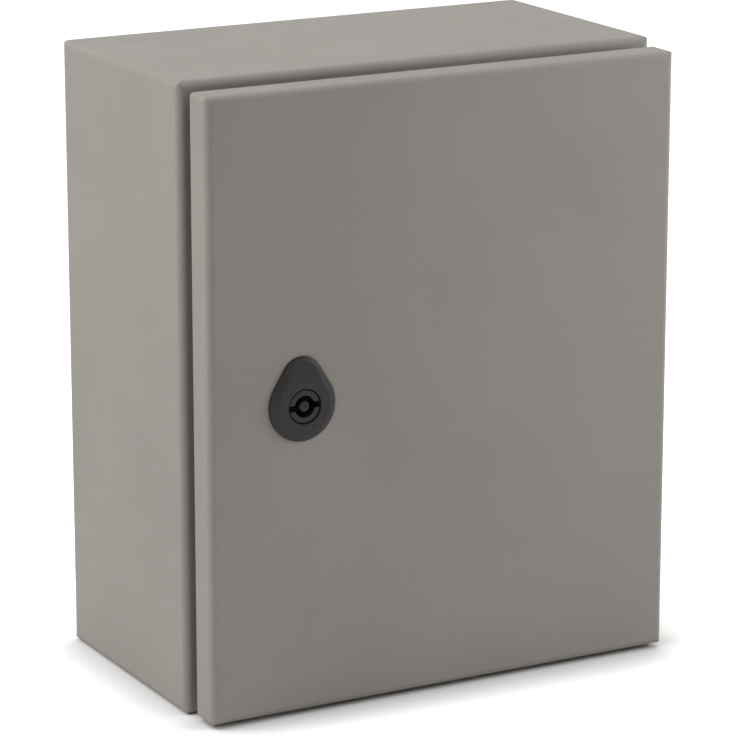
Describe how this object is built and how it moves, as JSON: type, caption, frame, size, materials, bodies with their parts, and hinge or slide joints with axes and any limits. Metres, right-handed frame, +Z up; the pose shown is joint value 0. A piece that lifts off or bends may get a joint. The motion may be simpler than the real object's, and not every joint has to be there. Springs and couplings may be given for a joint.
{
  "type": "steel wall enclosure",
  "caption": "Folded sheet-steel wall enclosure with a gasketed door on concealed hinges, a quarter-turn cam lock, an inner mounting plate and a blank gland plate in its bottom.",
  "frame": {"origin": "centre of the four wall fixings, on the back face", "axes": "+X to the right as seen from the front, +Y into the wall, +Z up; the door faces -Y"},
  "size_m": [0.25, 0.1533, 0.3],
  "materials": {
    "powder_coat": "fine-textured warm grey powder coat",
    "galvanised_steel": "hot-dip galvanised, fine spangle",
    "zinc_plated_steel": "bright zinc plate",
    "foam_seal": "foamed polyurethane, matt black",
    "seal_rubber": "nitrile rubber",
    "dark_moulding": "satin dark grey moulding"
  },
  "bodies": {
    "enclosure": {"enclosure_body": "powder_coat", "body_earth_stud": "zinc_plated_steel", "body_earth_washer": "zinc_plated_steel", "body_earth_nut": "zinc_plated_steel", "mounting_plate": "galvanised_steel", "plate_studs": "zinc_plated_steel", "plate_spacers": "zinc_plated_steel", "plate_washers": "zinc_plated_steel", "plate_nuts": "zinc_plated_steel", "gland_plate": "powder_coat", "gland_gasket": "foam_seal", "gland_studs": "zinc_plated_steel", "gland_nuts": "zinc_plated_steel", "hinge_body_leaf_upper": "zinc_plated_steel", "hinge_body_leaf_lower": "zinc_plated_steel", "hinge_screws": "zinc_plated_steel", "hinge_screw_nuts": "zinc_plated_steel", "hinge_pins": "zinc_plated_steel", "hinge_pin_clips": "zinc_plated_steel"},
    "door": {"door_panel": "powder_coat", "door_gasket": "foam_seal", "hinge_door_leaf_upper": "zinc_plated_steel", "hinge_door_leaf_lower": "zinc_plated_steel", "hinge_door_studs": "zinc_plated_steel", "hinge_door_nuts": "zinc_plated_steel", "door_earth_stud": "zinc_plated_steel", "door_earth_washer": "zinc_plated_steel", "door_earth_nut": "zinc_plated_steel", "lock_housing": "dark_moulding", "lock_seal": "seal_rubber", "lock_nut": "zinc_plated_steel"},
    "lock": {"lock_barrel": "dark_moulding", "barrel_o_ring": "seal_rubber", "lock_cam": "zinc_plated_steel", "lock_cam_screw": "zinc_plated_steel"}
  },
  "joints": [
    {"name": "door_swing", "type": "hinge", "parent": "enclosure", "child": "door", "pos_m": [0.1179, -0.137, 0], "axis": [0, 0, 1], "range_deg": [0, 120]},
    {"name": "lock_turn", "type": "hinge", "parent": "door", "child": "lock", "pos_m": [-0.076, -0.15, 0], "axis": [0, 1, 0], "range_deg": [0, 90]}
  ]
}
